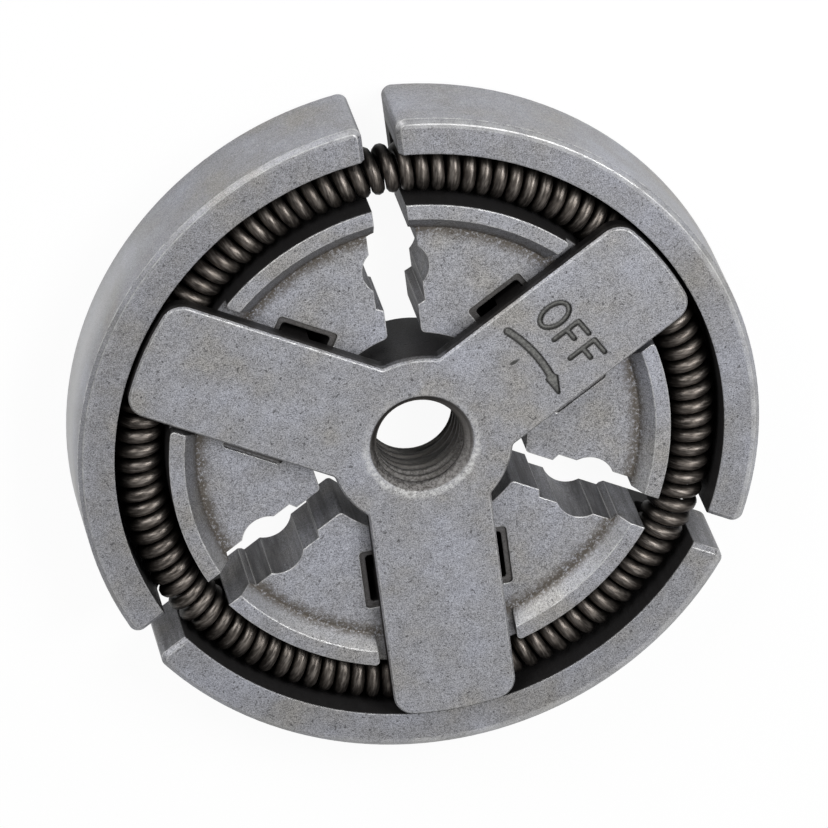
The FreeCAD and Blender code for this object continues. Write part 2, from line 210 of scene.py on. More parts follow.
# %% [markdown]
# ## Sintered steel
#
# The hub and the shoes are pressed from steel powder and baked. The surface is a mid grey, dull,
# full of fine dark pores, with broad cloudy patches that lean to blue or to warm grey. Image
# textures could show this, but noise at several sizes does it from any side: clouds, patches, a
# fine grain, and pores and pits where a noise passes a threshold.
#
# Edges are made lighter, partly as rubbed wear and partly as a painted highlight. A modelled bevel
# would add many faces, so the Bevel node gives a normal that runs round each edge, and where it
# leaves the flat normal is the edge. The Ambient Occlusion node finds the opposite: inner corners,
# which are then darkened as painted shade.

# %% A sintered finish
GREY = (0.300, 0.301, 0.318, 1.0)
WARM = (0.322, 0.312, 0.300, 1.0)
BLUISH = (0.318, 0.325, 0.362, 1.0)
PORE_AND_SHADE = (0.060, 0.059, 0.062, 1.0)
RUBBED_AND_HIGHLIGHT = (0.80, 0.80, 0.79, 1.0)
DIRT_AND_SHADE = (0.085, 0.072, 0.058, 1.0)
OIL_AND_SHADE_BLACK = (0.010, 0.009, 0.009, 1.0)
METALLIC = 0.55
SOFT_EDGE = 0.20 * MM
RELIEF = 0.03 * MM


def sintered(finish, place, smooth, edges):
    """Colour, roughness and relief of the bare metal. Smooth and edges are masks, 0 to 1."""
    clouds = finish.noise(place, 0.14, 3.0, 0.55)
    patches = finish.noise(place, 0.9, 2.0, 0.6)
    grain = finish.noise(place, 3.6, 2.0, 0.6)
    fine = finish.noise(place, 8.5, 1.0, 0.5)
    pores = finish.noise(place, 6.5, 1.0, 0.5).between(0.58, 0.70) * (1 - smooth * 0.7)
    pits = finish.noise(place, 3.2, 0.0, 0.5).between(0.76, 0.80) * (1 - smooth)
    colour = finish.mix(clouds.between(0.45, 0.70), GREY, BLUISH)
    colour = finish.mix(clouds.between(0.50, 0.28), colour, WARM)
    even = 1 - smooth * 0.35
    light = 1 + ((grain - 0.5) * 0.95 + (fine - 0.5) * 2.1 + (patches - 0.5) * 0.45) * even
    light = light + (clouds - 0.5) * 0.45 - smooth * 0.05
    shade = finish.node("ShaderNodeCombineXYZ", inputs={0: light, 1: light, 2: light})
    colour = finish.mix(1.0, colour, shade, blend="MULTIPLY")
    colour = finish.mix(pores * 0.48, colour, PORE_AND_SHADE)
    colour = finish.mix(pits * 0.70, colour, PORE_AND_SHADE)
    # The edges are lightened in patches: rubbed wear and a painted highlight.
    edge_patches = finish.noise(place, 1.3, 4.0, 0.75).between(0.30, 0.66)
    colour = finish.mix(edges * edge_patches, colour, RUBBED_AND_HIGHLIGHT)
    roughness = 0.50 + (grain - 0.5) * 0.25 - smooth * 0.04 - edges * 0.10
    height = (grain - 0.5) * 0.6 + (fine - 0.5) * 0.5 - pores * 0.9 - pits * 1.6
    return colour, roughness, height * (1 - smooth * 0.75)


def soft_edges(finish):
    """A normal that runs softly round sharp edges, and a mask of where it does."""
    rounded = finish.node("ShaderNodeBevel", {"samples": 6}, {"Radius": SOFT_EDGE})
    flat = finish.node("ShaderNodeNewGeometry", output=1)
    settings = {"operation": "DOT_PRODUCT"}
    same = finish.node("ShaderNodeVectorMath", settings, {0: rounded, 1: flat}, output=1)
    return rounded, (1 - same).between(0.004, 0.045)


def tight_corners(finish, reach):
    """1 where other walls of the same piece stand close by, in grooves and inner corners."""
    settings = {"samples": 4, "only_local": True}
    inputs = {"Distance": reach * MM}
    open_sky = finish.node("ShaderNodeAmbientOcclusion", settings, inputs, output=1)
    return open_sky.between(0.97, 0.68)


def upright(finish):
    """1 on walls that stand up from the floor, and 0 on level and slanted faces."""
    flat = finish.node("ShaderNodeNewGeometry", output=1)
    up = finish.node("ShaderNodeSeparateXYZ", inputs={0: flat}, output=2)
    return up.size().between(0.50, 0.25)


def bump(finish, height, normal, strength=0.35):
    inputs = {"Strength": strength, "Distance": RELIEF, "Height": height, "Normal": normal}
    return finish.node("ShaderNodeBump", inputs=inputs)


print("sintered finish: grey", GREY[:3])

# %% [markdown]
# ## The shoes' finish
#
# Each shoe lies about a centre of its own, because the spring draws it in along its arm. The masks
# below measure from that centre: how far out a point is and how high above the back. The spring's
# groove is black with old oil and painted shade, the windows are painted black inside as shade, and
# their ledges take the arm's painted shadow. Inner corners are darkened in brown as painted shade,
# brown dirt sits at the foot of the lip's slope, and the slopes carry painted shade on the upper
# and left shoes and a painted highlight on the lower one. The end faces are streaked from the
# press, and the walls are darkened with painted shade, most in the end faces' hollows. The friction
# face, which rubs on the drum, is smoother than the rest, with a painted sheen on its left side,
# and the rim's chamfer has a painted highlight in worn patches.

# %% Finish of the shoes
DRAW_IN = 1.1
RIM_INNER, LIP_OUTER, LIP_INNER, LIP_FOOT = 31.4, 26.0, 24.5, 23.1
RIM_TOP, WEB_TOP = 9.55, 8.2
FRICTION_FROM, FRICTION_TO = 34.45, 34.75
CHAMFER_FROM, CHAMFER_TO = 34.05, 34.98
OUTER_HOLLOW, INNER_HOLLOW = 21.8, 13.6
WINDOW_MIDDLE, WINDOW_REACH, WINDOW_HALF = 16.0, 3.25, 7.5
LEDGE_EDGE = 7.33
LEDGE_SHADOW = (0.056, 0.051, 0.047, 1.0)
DARK_LEDGE = {"shoe_1": 0, "shoe_2": 1, "shoe_3": -1}


def shoe_finish(name, arm_angle, dark_ledge):
    """Dark ledge: 1 or -1 where the arm's painted shadow falls on one ledge only, 0 for both."""
    arm = math.radians(arm_angle)
    finish = Finish(f"{name}_sintered_steel")
    shift = (DRAW_IN * math.cos(arm), DRAW_IN * math.sin(arm), -BACK / MM)
    place = finish.place(shift)
    x, y, z, r = finish.split(place)
    along = x * math.cos(arm) + y * math.sin(arm)
    across = y * math.cos(arm) - x * math.sin(arm)
    wander = finish.noise(place, 1.3, 3.0, 0.65)
    speckle = finish.noise(place, 4.2, 2.0, 0.6)
    friction = r.between(FRICTION_FROM, FRICTION_TO)
    rounded, edge = soft_edges(finish)
    at_top = z.between(WEB_TOP - 0.5, WEB_TOP - 0.1) * (1 - r.near(LIP_FOOT, 0.7))
    at_top = at_top * (1 - r.near(RIM_INNER, 0.6) * 0.8)
    rounded_in = tight_corners(finish, 0.9)
    colour, roughness, height = sintered(finish, place, friction, edge * at_top * (1 - rounded_in))
    # Painted shade: inner corners found by ambient occlusion are darkened in brown.
    colour = finish.mix(rounded_in * (1 - friction) * (0.2 + speckle * 0.4), colour, DIRT_AND_SHADE)
    slope = r.between(LIP_FOOT - 0.1, LIP_FOOT + 0.1) * r.between(LIP_INNER + 0.02, LIP_INNER - 0.1)
    slope = slope * z.between(WEB_TOP - 0.1, WEB_TOP + 0.1)
    # Painted shade on the slopes of the upper and left shoes, and a painted highlight on the lower
    # shoe's slope.
    shaded = (y.between(-2.0, 8.0) + x.between(-12.0, -19.0)).at_most(1.0)
    colour = finish.mix(slope * shaded * 0.45, colour, PORE_AND_SHADE)
    colour = finish.mix(slope * y.between(-2.0, -9.0) * speckle * 0.22, colour, RUBBED_AND_HIGHLIGHT)
    foot = (r + (wander - 0.5) * 1.6).near(LIP_FOOT - 0.15, 1.45) * z.near(WEB_TOP, 0.75)
    colour = finish.mix(foot * speckle.between(0.32, 0.52) * 0.95, colour, DIRT_AND_SHADE)
    rim_top = r.between(RIM_INNER - 0.1, RIM_INNER + 0.1) * z.between(RIM_TOP - 0.2, RIM_TOP - 0.05)
    colour = finish.mix(rim_top * 0.15, colour, PORE_AND_SHADE)
    # The upright walls are darkened: press streaks and stains, under painted shade that is
    # strongest in the end faces' hollows.
    walls = upright(finish) * (1 - friction)
    stretched = finish.node("ShaderNodeMapping", inputs={0: place, 3: (1.0, 1.0, 0.07)})
    streaks = finish.noise(stretched, 1.9, 3.0, 0.65)
    stains = finish.noise(stretched, 0.35, 2.0, 0.5).between(0.40, 0.62)
    hollow_shade = r.near(OUTER_HOLLOW, 2.4) * 0.48 + r.near(INNER_HOLLOW, 2.0) * 0.32
    streaks_and_shade = streaks.between(0.30, 0.70) * 0.42 + stains * 0.24 + hollow_shade + 0.08
    colour = finish.mix(walls * streaks_and_shade, colour, PORE_AND_SHADE)
    # The walls' arrises are lightened: rubbed wear and a painted highlight.
    colour = finish.mix(walls * edge * z.between(0.2, 1.0) * 0.45, colour, RUBBED_AND_HIGHLIGHT)
    chamfer = r.between(CHAMFER_FROM, CHAMFER_FROM + 0.15)
    chamfer = chamfer * r.between(CHAMFER_TO, CHAMFER_TO - 0.18)
    chamfer = chamfer * z.between(RIM_TOP - 0.9, RIM_TOP - 0.75)
    worn = finish.noise(place, 0.5, 3.0, 0.6).between(0.35, 0.65)
    # A painted sheen on the left side of the friction face, stronger towards the back.
    left_sheen = friction * x.between(-20.0, -33.0) * z.between(9.0, 3.0)
    colour = finish.mix(left_sheen * 0.45, colour, RUBBED_AND_HIGHLIGHT)
    # The rim's outer chamfer gets a painted highlight in worn patches, stronger on the lit right
    # side.
    lit_side = x.between(-18.0, 2.0) * 0.8 + 0.2
    shine = worn * 0.15 + 0.12 + edge * worn * 0.4
    colour = finish.mix(chamfer * shine * lit_side, colour, RUBBED_AND_HIGHLIGHT)
    window = (along - WINDOW_MIDDLE).size().between(WINDOW_REACH, WINDOW_REACH - 0.1)
    window = window * across.size().between(WINDOW_HALF + 0.1, WINDOW_HALF)
    # The arm's painted shadow on the window's ledge.
    ledge = window * (across * dark_ledge).between(-LEDGE_EDGE, 0.1 - LEDGE_EDGE)
    colour = finish.mix(ledge * z.between(WEB_TOP - 0.02, WEB_TOP - 0.12) * 0.80, colour, LEDGE_SHADOW)
    # The window's inside below the web is painted black as shade.
    colour = finish.mix(window * z.between(WEB_TOP - 0.3, WEB_TOP - 0.6) * 0.9, colour, OIL_AND_SHADE_BLACK)
    # The spring's groove is painted black: old oil and painted shade.
    groove = r.between(LIP_OUTER - 0.14, LIP_OUTER - 0.04)
    groove = groove * r.between(RIM_INNER + 0.14, RIM_INNER + 0.04)
    groove = groove * z.between(RIM_TOP - 0.08, RIM_TOP - 0.30)
    colour = finish.mix(groove * 0.97, colour, OIL_AND_SHADE_BLACK)
    finish.set(base_color=colour, roughness=roughness + groove * 0.1)
    finish.set(metallic=METALLIC - groove * 0.4, normal=bump(finish, height, rounded))
    return finish.material


def dress(node, material):
    """Puts a material in the slots of a CAD node."""
    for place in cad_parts[node].material_slots:
        place.material = material


for node, angle in ARM_ANGLES.items():
    dress(node, shoe_finish(node, angle, DARK_LEDGE[node]))
    print(node, "dressed")

# %% [markdown]
# ## The hub: a joined copy of the solid
#
# The hub carries a thread in its bore and marks on one arm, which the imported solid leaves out. A
# CAD node's mesh isn't changed, so a copy is cut, and it then stands for the node. The copy's
# triangles are loose, so they are joined first, and flat neighbours are dissolved into one face.
# The corner normals that came with the mesh would smear over the new faces, so they are removed.

# %% Copy the hub
JOIN = 0.0005 * MM
FLAT = math.radians(0.3)


def joined_copy(node, name):
    """A new piece with a CAD node's shape, its triangles joined and flat faces made whole."""
    joined = bmesh.new()
    joined.from_mesh(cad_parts[node].data)
    bmesh.ops.remove_doubles(joined, verts=joined.verts, dist=JOIN)
    bmesh.ops.dissolve_limit(joined, angle_limit=FLAT, verts=joined.verts, edges=joined.edges,
                             use_dissolve_boundaries=False)
    piece = piece_of(joined, name)
    imported = piece.data.attributes.get("custom_normal")
    if imported:
        piece.data.attributes.remove(imported)
    return piece


def piece_of(shape, name):
    """A new object at the origin with the mesh of a bmesh, which is freed."""
    mesh = bpy.data.meshes.new(name)
    shape.to_mesh(mesh)
    shape.free()
    piece = bpy.data.objects.new(name, mesh)
    scene.collection.objects.link(piece)
    return piece


def cut(piece, cutter):
    """Takes the cutter's volume out of the piece, and removes the cutter."""
    step = piece.modifiers.new("cut", "BOOLEAN")
    step.object, step.operation, step.solver = cutter, "DIFFERENCE", "EXACT"
    depsgraph = bpy.context.evaluated_depsgraph_get()
    mesh = bpy.data.meshes.new_from_object(piece.evaluated_get(depsgraph))
    piece.modifiers.clear()
    piece.data = mesh
    bpy.data.objects.remove(cutter)


hub = joined_copy("hub", "hub_threaded")
print("hub copy:", len(hub.data.polygons), "faces")

# %% [markdown]
# ## The thread
#
# The hub screws on to the crankshaft with a left-hand M10 x 1.25 thread, so that the engine's
# turning tightens it. A cutter with the groove's section is spun round the axis, a little higher
# for each step, and the helix that it leaves is taken out of the bore. Spin does this by itself,
# because each of its steps can turn and move at once.

# %% Cut the thread
THREAD_PITCH, ROOT_RADIUS = 1.25, 4.98
INSIDE = 4.2
GROOVE_SLOPE = math.tan(math.radians(30))
ROOT_HALF = THREAD_PITCH / 16
STEPS_PER_TURN = 48
HUB_HEIGHT = 10.45
RUN_OUT = 1.1


def thread_cutter():
    shape = bmesh.new()
    mouth = ROOT_HALF + (ROOT_RADIUS - INSIDE) * GROOVE_SLOPE
    section = [(INSIDE, -mouth), (ROOT_RADIUS, -ROOT_HALF),
               (ROOT_RADIUS, ROOT_HALF), (INSIDE, mouth)]
    start = BACK / MM - RUN_OUT
    corners = [shape.verts.new((out * MM, 0, (start + up) * MM)) for out, up in section]
    face = shape.faces.new(corners)
    turns = (HUB_HEIGHT + 2 * RUN_OUT) / THREAD_PITCH
    steps = round(turns * STEPS_PER_TURN)
    bmesh.ops.spin(shape, geom=[face, *face.edges, *face.verts], cent=(0, 0, 0), axis=(0, 0, 1),
                   dvec=(0, 0, THREAD_PITCH / STEPS_PER_TURN * MM), angle=-2 * math.pi * turns,
                   steps=steps, use_duplicate=False, use_merge=False)
    bmesh.ops.remove_doubles(shape, verts=shape.verts, dist=JOIN)
    bmesh.ops.recalc_face_normals(shape, faces=shape.faces)
    return piece_of(shape, "thread_cutter")


cut(hub, thread_cutter())
print("thread cut:", len(hub.data.polygons), "faces")

# %% [markdown]
# ## The marks on the arm
#
# One arm shows which way the hub comes off: a curved arrow and the word OFF, pressed a fifth of a
# millimetre deep. They are generic marks, so they are drawn afresh: the arrow's shaft lies between
# two arcs, with a round tail and a pointed head, and the letters are straight strokes and a ring.
# The arrow is drawn about the hub's axis. The letters are placed along the arm and turned with it.

# %% Cut the arrow and the word
MARK_DEPTH, ABOVE = 0.22, 0.5
ARROW_RADIUS, ARROW_WIDTH, ARROW_TAIL, ARROW_NECK, ARROW_TIP = 14.36, 0.80, 46.6, 19.3, 10.6
ARROW_BARB = 0.66
STROKE = 0.52
LETTER_LOW, LETTER_HIGH, LETTER_BAR = 16.72, 19.72, 18.30
O_MIDDLE, O_HALF = (18.32, 2.42), (1.62, 1.07)
FIRST_F, SECOND_F = (0.30, 1.72, 1.22), (-2.36, 1.72, 1.28)
ARM_TURN = Matrix.Rotation(math.radians(ARM_ANGLES["shoe_2"]), 4, "Z")
MARK_FLOOR = cad_high.z / MM - MARK_DEPTH


def prism(outline, name):
    """An upright solid over an outline of (x, y) in millimetres, from the marks' floor up."""
    shape = bmesh.new()
    corners = [shape.verts.new((x * MM, y * MM, MARK_FLOOR * MM)) for x, y in outline]
    face = shape.faces.new(corners)
    raised = bmesh.ops.extrude_face_region(shape, geom=[face])["geom"]
    upper = [part for part in raised if isinstance(part, bmesh.types.BMVert)]
    bmesh.ops.translate(shape, verts=upper, vec=(0, 0, (MARK_DEPTH + ABOVE) * MM))
    bmesh.ops.recalc_face_normals(shape, faces=shape.faces)
    return piece_of(shape, name)


def stroke(start, end):
    """Outline of a straight stroke with round ends."""
    half = STROKE / 2
    along = math.atan2(end[1] - start[1], end[0] - start[0])
    outline = []
    for (x, y), first in ((end, along - math.pi / 2), (start, along + math.pi / 2)):
        for step in range(9):
            angle = first + math.pi * step / 8
            outline.append((x + half * math.cos(angle), y + half * math.sin(angle)))
    return outline


def polar(radius, degrees):
    angle = math.radians(degrees)
    return radius * math.cos(angle), radius * math.sin(angle)


def arc(radius, first, last, steps=14):
    return [polar(radius, first + (last - first) * step / steps) for step in range(steps + 1)]


def arrow_outlines():
    """The arrow's shaft, head and round tail, which overlap."""
    half = ARROW_WIDTH / 2
    outer, inner, shaft_end = ARROW_RADIUS + half, ARROW_RADIUS - half, ARROW_NECK - 0.6
    shaft = arc(outer, shaft_end, ARROW_TAIL) + arc(inner, ARROW_TAIL, shaft_end)
    head = [
        polar(ARROW_RADIUS - ARROW_BARB, ARROW_NECK - 0.3),
        polar(ARROW_RADIUS - 0.14, ARROW_TIP + 0.5),
        polar(ARROW_RADIUS, ARROW_TIP),
        polar(ARROW_RADIUS + 0.16, ARROW_TIP + 0.4),
        polar(ARROW_RADIUS + ARROW_BARB, ARROW_NECK - 1.0),
        polar(outer, ARROW_NECK + 0.4),
        polar(inner, ARROW_NECK + 0.6),
    ]
    x, y = polar(ARROW_RADIUS, ARROW_TAIL)
    turns = [step * math.pi / 8 for step in range(16)]
    tail = [(x + half * math.cos(turn), y + half * math.sin(turn)) for turn in turns]
    return [shaft, head, tail]


def letter_strokes(left, wide, bar):
    """The three strokes of an F whose stem stands at left, in the arm's own axes."""
    foot, top, middle = (LETTER_LOW, left), (LETTER_HIGH, left), (LETTER_BAR, left)
    wide_end, bar_end = (LETTER_HIGH, left - wide), (LETTER_BAR, left - bar)
    return [stroke(foot, top), stroke(top, wide_end), stroke(middle, bar_end)]


def ring_cutter():
    """The O: a ring with an oval outline, made from a circle that is extruded and hollowed."""
    outer = [half + STROKE / 2 for half in O_HALF]
    inner = [half - STROKE / 2 for half in O_HALF]
    shape = bmesh.new()
    rim = bmesh.ops.create_circle(shape, radius=1.0, segments=40)["verts"]
    bmesh.ops.scale(shape, verts=rim, vec=(outer[0] * MM, outer[1] * MM, 1))
    extruded = bmesh.ops.extrude_edge_only(shape, edges=shape.edges[:])["geom"]
    hole = [part for part in extruded if isinstance(part, bmesh.types.BMVert)]
    bmesh.ops.scale(shape, verts=hole, vec=(inner[0] / outer[0], inner[1] / outer[1], 1))
    raised = bmesh.ops.extrude_face_region(shape, geom=shape.faces[:])["geom"]
    upper = [part for part in raised if isinstance(part, bmesh.types.BMVert)]
    bmesh.ops.translate(shape, verts=upper, vec=(0, 0, (MARK_DEPTH + ABOVE) * MM))
    to_place = (O_MIDDLE[0] * MM, O_MIDDLE[1] * MM, MARK_FLOOR * MM)
    bmesh.ops.translate(shape, verts=shape.verts, vec=to_place)
    bmesh.ops.recalc_face_normals(shape, faces=shape.faces)
    return piece_of(shape, "ring_cutter")


cutters = [prism(outline, "arrow_cutter") for outline in arrow_outlines()]
for outline in letter_strokes(*FIRST_F) + letter_strokes(*SECOND_F):
    cutters.append(prism(outline, "letter_cutter"))
    cutters[-1].data.transform(ARM_TURN)
cutters.append(ring_cutter())
cutters[-1].data.transform(ARM_TURN)
for cutter in cutters:
    cut(hub, cutter)
print("marks cut:", len(hub.data.polygons), "faces")

# %% [markdown]
# ## The hub's finish
#
# The hub has the shoes' finish. The thread is dark with oil, with a darker line in each turn. It is
# painted lighter towards its mouth, where less shade falls, with painted glints on its far side;
# the mouth is lightened by wear and a painted highlight, and the root below it is blackened by oil
# and painted shade. The top is lightened in a ring round the mouth, by rubbed wear and a painted
# highlight, most on the near side. Old dirt fills the marks, painted shade darkens their walls and
# outlines, the upright walls are painted dark as shade, and a nick lies by the arrow.

# %% Finish of the hub
MOUTH_RADIUS = 5.23
RUBBED_RADIUS, RUBBED_REACH = 5.55, 0.62
NICK = (12.2, 1.0)
MARKS_FROM, MARKS_TO, MARKS_HALF = 12.9, 20.6, 5.7
WALL_SHADE, NICK_FLOOR = (0.026, 0.023, 0.021, 1), (0.032, 0.033, 0.030, 1)
THREAD_DARK, THREAD_LIGHT = (0.014, 0.013, 0.012, 1), (0.070, 0.064, 0.058, 1)
THREAD_LIT, THREAD_LINE = (0.112, 0.102, 0.095, 1), (0.016, 0.014, 0.013, 1)
SPARKLE, MOUTH_WEAR_AND_HIGHLIGHT = (0.38, 0.37, 0.36, 1), (0.30, 0.29, 0.285, 1)
MARK_DARK, MARK_LIGHT = (0.085, 0.085, 0.080, 1), (0.180, 0.180, 0.170, 1)
MARK_WALL_SHADE, MARK_EDGE_SHADE = (0.016, 0.016, 0.014, 1), (0.020, 0.020, 0.018, 1)


def hub_finish():
    finish = Finish("hub_sintered_steel")
    place = finish.place((0.0, 0.0, -BACK / MM))
    x, y, z, r = finish.split(place)
    arm = math.radians(ARM_ANGLES["shoe_2"])
    along = x * math.cos(arm) + y * math.sin(arm)
    across = y * math.cos(arm) - x * math.sin(arm)
    rounded, edge = soft_edges(finish)
    top = HUB_HEIGHT
    marks = along.between(MARKS_FROM, MARKS_FROM + 0.1) * along.between(MARKS_TO, MARKS_TO - 0.1)
    marks = marks * across.size().between(MARKS_HALF, MARKS_HALF - 0.2)
    at_top = z.between(top - 0.6, top - 0.3) * r.between(MOUTH_RADIUS + 0.1, MOUTH_RADIUS + 0.6)
    close = tight_corners(finish, 0.26)
    bare_edge = edge * at_top * (1 - marks) * 0.8
    colour, roughness, height = sintered(finish, place, 0.0 * z, bare_edge)
    # The hub's upright walls are painted dark as shade, darkest on the arms.
    walls = upright(finish) * r.between(MOUTH_RADIUS + 0.7, MOUTH_RADIUS + 1.0)
    wobble = finish.noise(place, 1.1, 3.0, 0.65)
    wall_shade = r.between(9.3, 10.2) * 0.50 + 0.42 + (wobble - 0.5) * 0.4
    colour = finish.mix(walls * wall_shade, colour, WALL_SHADE)
    grit = finish.noise(place, 3.4, 3.0, 0.7).between(0.38, 0.62)
    # A ring round the mouth is lightened: rubbed wear and a painted highlight of the rounded mouth,
    # strongest on one side.
    ring_wear_and_highlight = (r + (wobble - 0.5) * 0.5).near(RUBBED_RADIUS, RUBBED_REACH)
    ring_wear_and_highlight = ring_wear_and_highlight * z.between(top - 0.3, top - 0.1)
    ring_wear_and_highlight = ring_wear_and_highlight * (y.between(4.0, -3.5) * 0.85 + 0.15)
    colour = finish.mix(ring_wear_and_highlight * (grit * 0.60 + 0.08), colour, RUBBED_AND_HIGHLIGHT)
    thread = r.between(MOUTH_RADIUS + 0.02, MOUTH_RADIUS - 0.16)
    sweep = finish.node("ShaderNodeCombineXYZ", inputs={0: r * 0.6, 1: z * 5.0, 2: x * 0.25})
    scored = finish.noise(sweep, 1.0, 3.0, 0.6)
    # The thread is painted lighter towards the mouth, where less shade falls.
    lit_near_mouth = z.between(top - 6.5, top - 0.5)
    thread_colour = finish.mix(scored.between(0.30, 0.70), THREAD_DARK, THREAD_LIGHT)
    thread_colour = finish.mix(lit_near_mouth * 0.40, thread_colour, THREAD_LIT)
    turn = y.maths("ARCTAN2", y, x) * (0.5 / math.pi)
    line = (z * (1 / THREAD_PITCH) + turn).fraction()
    line = (line + (wobble - 0.5) * 0.25).near(0.5, 0.26)
    thread_colour = finish.mix(line * 0.85, thread_colour, THREAD_LINE)
    # Painted glints on the far side of the thread.
    sparkle = (1 - line) * grit * y.between(2.0, -3.0) * z.between(top - 5.0, top - 2.0)
    thread_colour = finish.mix(sparkle * 0.32, thread_colour, SPARKLE)
    # The thread's mouth is lightened on its far and right sides: wear and a painted highlight.
    mouth_wear_and_highlight = y.between(2.0, -4.0) * grit * 0.45 + x.between(0.0, 5.0) * 0.25
    mouth_wear_and_highlight = mouth_wear_and_highlight * z.between(top - 1.0, top - 0.5)
    thread_colour = finish.mix(mouth_wear_and_highlight, thread_colour, MOUTH_WEAR_AND_HIGHLIGHT)
    colour = finish.mix(thread, colour, thread_colour)
    # The thread's root below the mouth is blackened: oil and painted shade.
    root = r.between(ROOT_RADIUS - 0.30, ROOT_RADIUS - 0.05) * z.between(top - 0.7, top - 1.0)
    colour = finish.mix(root * 0.85, colour, OIL_AND_SHADE_BLACK)
    marked = marks * z.between(top - 0.03, top - 0.08) * z.between(top - 0.6, top - 0.4)
    floor_colour = finish.mix(grit, MARK_DARK, MARK_LIGHT)
    # Painted shade at the foot of the marks' walls, found by ambient occlusion.
    mark_colour = finish.mix(close, floor_colour, MARK_WALL_SHADE)
    colour = finish.mix(marked * 0.95, colour, mark_colour)
    # The marks' outline is darkened as painted shade.
    outline = marks * edge * z.between(top - 0.6, top - 0.4)
    colour = finish.mix(outline * 0.75, colour, MARK_EDGE_SHADE)
    nick = (along + (across - NICK[1]) * 0.6).near(NICK[0], 0.72) * across.near(NICK[1], 0.34)
    nick = nick.between(0.12, 0.60) * z.between(top - 0.3, top - 0.2)
    colour = finish.mix(nick * 0.90, colour, NICK_FLOOR)
    finish.set(base_color=colour, roughness=roughness + thread * 0.06 + marked * 0.1)
    finish.set(metallic=METALLIC - marked * 0.2 - thread * 0.15)
    finish.set(normal=bump(finish, height, rounded))
    return finish.material


def shade(piece, material, sharp=28):
    """Smooth shading that stops at sharp edges, and the piece's material."""
    piece.data.shade_smooth()
    piece.data.set_sharp_from_angle(angle=math.radians(sharp))
    piece.data.materials.clear()
    piece.data.materials.append(material)


shade(hub, hub_finish())
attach(hub, "hub")
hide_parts("hub")
print("hub dressed")

# %% [markdown]
# ## The garter spring
#
# The spring is one wire, wound in 111 small coils round a ring that lies in the shoes' groove. A
# curve with a round bevel is how Blender makes wire, so each stretch is a curve that winds round
# the ring's line. The line follows each lip as an arc about that shoe's centre and bends across
# the gap to the next. The spring is made in six stretches, one for each half shoe.

# %% The line that the coils wind round
COILS, WIRE, COIL_OUTER = 111, 1.35, 5.0
COIL_RADIUS = (COIL_OUTER - WIRE) / 2
RING_RADIUS = LIP_OUTER + 0.1 + COIL_OUTER / 2
SPRING_HEIGHT = 5.8
END_SETBACK = 2.65
HALF_SPAN = math.radians(60)
HELD = HALF_SPAN - math.asin(END_SETBACK / LIP_OUTER)


def ring_arcs():
    """Arcs of the ring's line: (centre, radius, first angle, last angle), in millimetres."""
    leaving = (RING_RADIUS * math.cos(HELD) - DRAW_IN, RING_RADIUS * math.sin(HELD))
    across = leaving[0] * math.sin(HALF_SPAN) - leaving[1] * math.cos(HALF_SPAN)
    bend = across / math.sin(HALF_SPAN - HELD)
    middle = math.hypot(leaving[0] - bend * math.cos(HELD), leaving[1] - bend * math.sin(HELD))
    arcs = []
    for arm_angle in ARM_ANGLES.values():
        arm = math.radians(arm_angle)
        centre = Vector((-DRAW_IN * math.cos(arm), -DRAW_IN * math.sin(arm)))
        arcs.append((centre, RING_RADIUS, arm - HELD, arm + HELD))
        gap = arm + HALF_SPAN
        centre = Vector((middle * math.cos(gap), middle * math.sin(gap)))
        arcs.append((centre, bend, arm + HELD, arm + 2 * HALF_SPAN - HELD))
    return arcs


ARCS = ring_arcs()
WHOLE = sum(radius * (last - first) for centre, radius, first, last in ARCS)


def on_ring(distance):
    """The point of the ring's line at a distance along it, and the outward direction there."""
    distance %= WHOLE
    for centre, radius, first, last in ARCS:
        stretch = radius * (last - first)
        if distance <= stretch:
            angle = first + distance / radius
            outward = Vector((math.cos(angle), math.sin(angle)))
            return centre + outward * radius, outward
        distance -= stretch
    return on_ring(0.0)


print("ring line:", round(WHOLE, 2), "mm, coil pitch", round(WHOLE / COILS, 3), "mm")

# %% [markdown]
# ## Drawn wire
#
# Spring wire is drawn through a die, so it has fine lines along its length. It is dark brown with
# oil; below the crowns the coils are painted nearly black, with oil and painted shade, and the
# crowns carry a painted highlight. The lines run round each coil, so the noise is stretched in the
# coil's plane: it changes quickly round the ring, and slowly outwards and upwards.

# %% Finish of the spring
WIRE_DARK, WIRE_LIGHT = (0.070, 0.061, 0.054, 1), (0.122, 0.106, 0.093, 1)
WIRE_SHADE, WIRE_HIGHLIGHT = (0.010, 0.009, 0.008, 1), (0.36, 0.325, 0.295, 1)


def wire_finish():
    finish = Finish("oiled_spring_wire")
    place = finish.place((0.0, 0.0, -BACK / MM))
    x, y, z, r = finish.split(place)
    round_ring = y.maths("ARCTAN2", y, x) * RING_RADIUS
    drawn = {0: round_ring * 5.0, 1: r * 0.7, 2: z * 0.7}
    lines = finish.noise(finish.node("ShaderNodeCombineXYZ", inputs=drawn), 1.0, 2.0, 0.6)
    blotches = finish.noise(place, 0.8, 3.0, 0.6)
    colour = finish.mix(blotches.between(0.35, 0.65), WIRE_DARK, WIRE_LIGHT)
    # Below the crowns the coils are painted nearly black (oil and painted shade); the crowns get a
    # painted highlight along the drawn lines.
    crown = z.between(SPRING_HEIGHT + 1.0, SPRING_HEIGHT + 2.4)
    colour = finish.mix(crown * 0.94 + 0.06, WIRE_SHADE, colour)
    colour = finish.mix(crown * lines.between(0.40, 0.72) * 0.55, colour, WIRE_HIGHLIGHT)
    roughness = 0.42 + (lines - 0.5) * 0.25 + (blotches - 0.5) * 0.2
    finish.set(base_color=colour, roughness=roughness, metallic=0.9)
    flat = finish.node("ShaderNodeNewGeometry", output=1)
    finish.set(normal=bump(finish, lines, flat, 0.25))
    return finish.material


